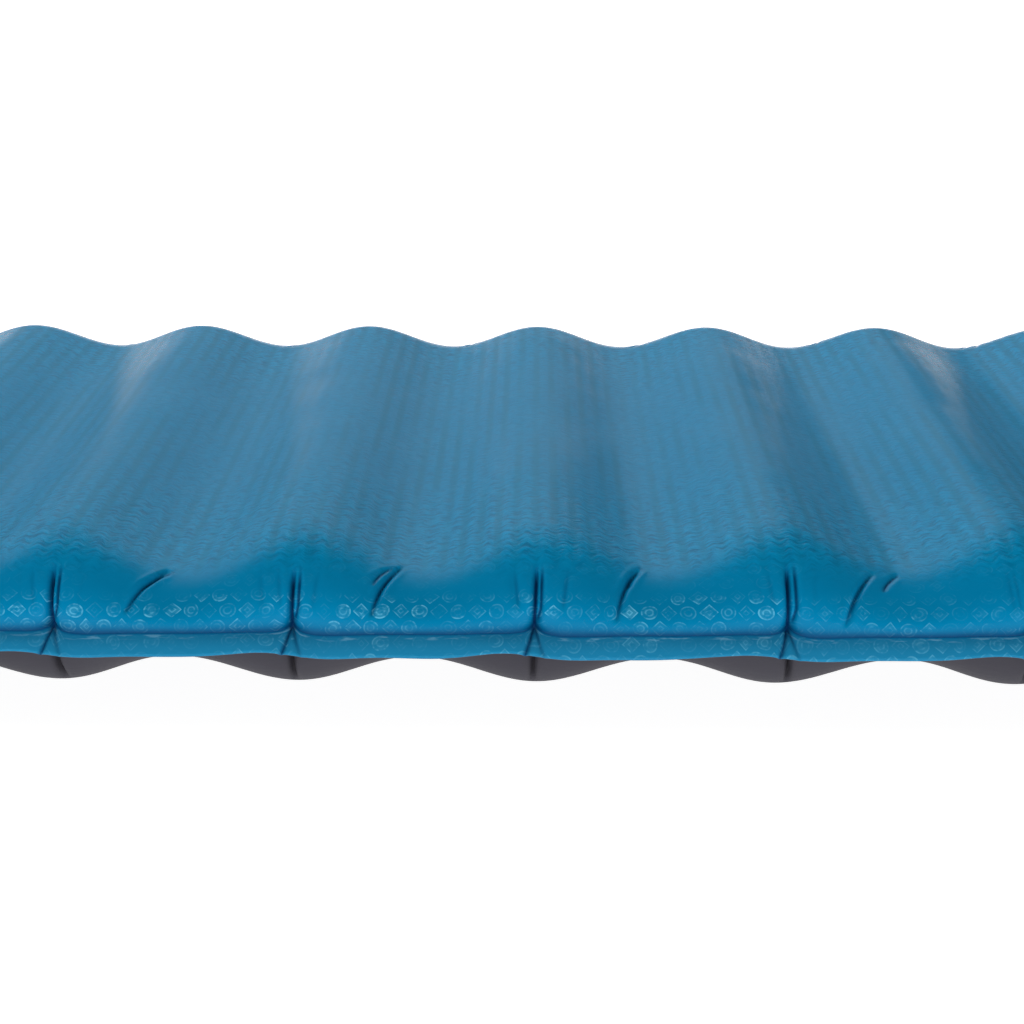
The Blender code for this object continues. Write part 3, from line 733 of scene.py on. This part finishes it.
def stage():
    bpy.ops.mesh.primitive_plane_add(size=40, location=(0, 0, GROUND - 0.2 * MM))
    floor = bpy.context.object
    floor.name = "studio_floor"
    finish = Finish("studio_floor_pale", (0.62, 0.62, 0.62), roughness=0.9, emission_strength=0.9)
    finish.shader.inputs["Emission Color"].default_value = (1, 1, 1, 1)
    floor.data.materials.append(finish.material)


def sky():
    """Dim all round, and brighter behind the bed and to the left of it."""
    world = bpy.data.worlds.new("studio")
    bpy.context.scene.world = world
    world.use_nodes = True
    tree = world.node_tree
    place = tree.nodes.new("ShaderNodeTexCoord")
    facing = tree.nodes.new("ShaderNodeVectorMath")
    facing.operation = "DOT_PRODUCT"
    facing.inputs[1].default_value = (-0.42, 0.91, 0)
    tree.links.new(place.outputs["Generated"], facing.inputs[0])
    dim = tree.nodes.new("ShaderNodeMapRange")
    dim.interpolation_type = "SMOOTHSTEP"
    for socket, value in (("From Min", 0.3), ("From Max", 0.95), ("To Min", 0.1), ("To Max", 0.3)):
        dim.inputs[socket].default_value = value
    tree.links.new(facing.outputs["Value"], dim.inputs["Value"])
    background = tree.nodes["Background"]
    background.inputs["Color"].default_value = (1, 1, 1, 1)
    tree.links.new(dim.outputs[0], background.inputs["Strength"])


def softbox(name, place, target, size, radiance, mirrored=True):
    """A panel of even brightness. One that isn't mirrored doesn't show in the bed's gloss."""
    light = bpy.data.lights.new(name, "AREA")
    light.shape = "RECTANGLE"
    light.size, light.size_y = size
    light.energy = radiance * math.pi * size[0] * size[1]
    made = bpy.data.objects.new(name, light)
    bpy.context.collection.objects.link(made)
    made.location = place
    made.rotation_euler = (Vector(target) - Vector(place)).to_track_quat("-Z", "Y").to_euler()
    made.visible_glossy = mirrored
    made.visible_camera = False


def camera():
    data = bpy.data.cameras.new("camera")
    data.lens = LENS
    data.sensor_width = 36
    made = bpy.data.objects.new("camera", data)
    bpy.context.collection.objects.link(made)
    made.location = CAMERA_PLACE
    made.rotation_euler = (math.radians(90 - CAMERA_TILT), 0, math.radians(CAMERA_TURN))
    bpy.context.scene.camera = made


camera()
stage()
sky()
softbox("low_back_softbox", (-1.1, 3.34, 1.35), (0, 0, 0), (4.6, 1.4), 0.27)
softbox("high_back_softbox", (-1.1, 2.57, 2.5), (0, 0, 0), (4.6, 1.45), 0.85)
softbox("left_softbox", (-3.3, 1.7, 1.7), (0, 0, 0), (1.2, 1.7), 0.35)
softbox("back_fill", (-1.0, 2.9, 3.0), (0, 0, 0), (4.8, 2.4), 4.0, mirrored=False)
softbox("front_fill", (0, -3.4, 0.4), (0, 0, 0.04), (5.0, 0.7), 6.3, mirrored=False)
bpy.context.scene.view_settings.view_transform = "Standard"
bottom_skin()
top_skin()
finish_frame_pieces()
